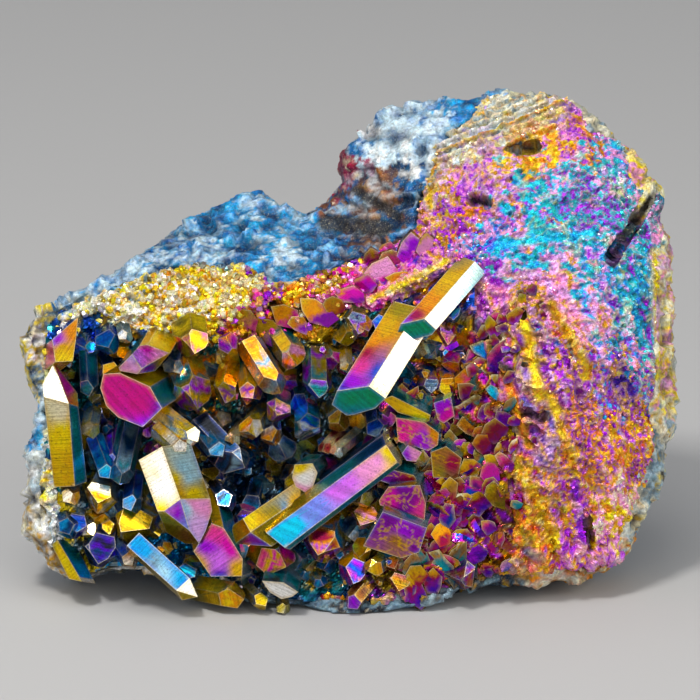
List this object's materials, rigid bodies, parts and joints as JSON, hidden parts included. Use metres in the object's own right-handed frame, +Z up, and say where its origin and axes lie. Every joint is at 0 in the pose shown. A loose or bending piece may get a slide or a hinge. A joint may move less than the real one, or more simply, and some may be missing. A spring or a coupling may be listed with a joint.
{
  "type": "aura amethyst cluster",
  "caption": "Coated quartz crystal cluster on host rock: a hollow lined with faceted crystals beside a broad rough dome, cut flat underneath to stand on a shelf.",
  "frame": {"origin": "centre of the specimen's box on the surface that it stands on", "axes": "+X to the right along the longest extent, +Y to the back, +Z up, with the crystals facing -Y"},
  "size_m": [0.109, 0.0651, 0.0775],
  "materials": {
    "host_rock": "rough granular rock with a thin blue to grey metallic film, white on its high grains",
    "massive_quartz": "sugary quartz under a metallic interference film: magenta, violet, teal and gold in broad patches",
    "crystal_crust": "polished flat crystal faces under a metallic interference film that runs from gold through magenta and violet to cyan and green"
  },
  "bodies": {
    "root": {"host_rock": "host_rock", "massive_quartz": "massive_quartz", "crystal_crust": "crystal_crust"}
  },
  "joints": []
}
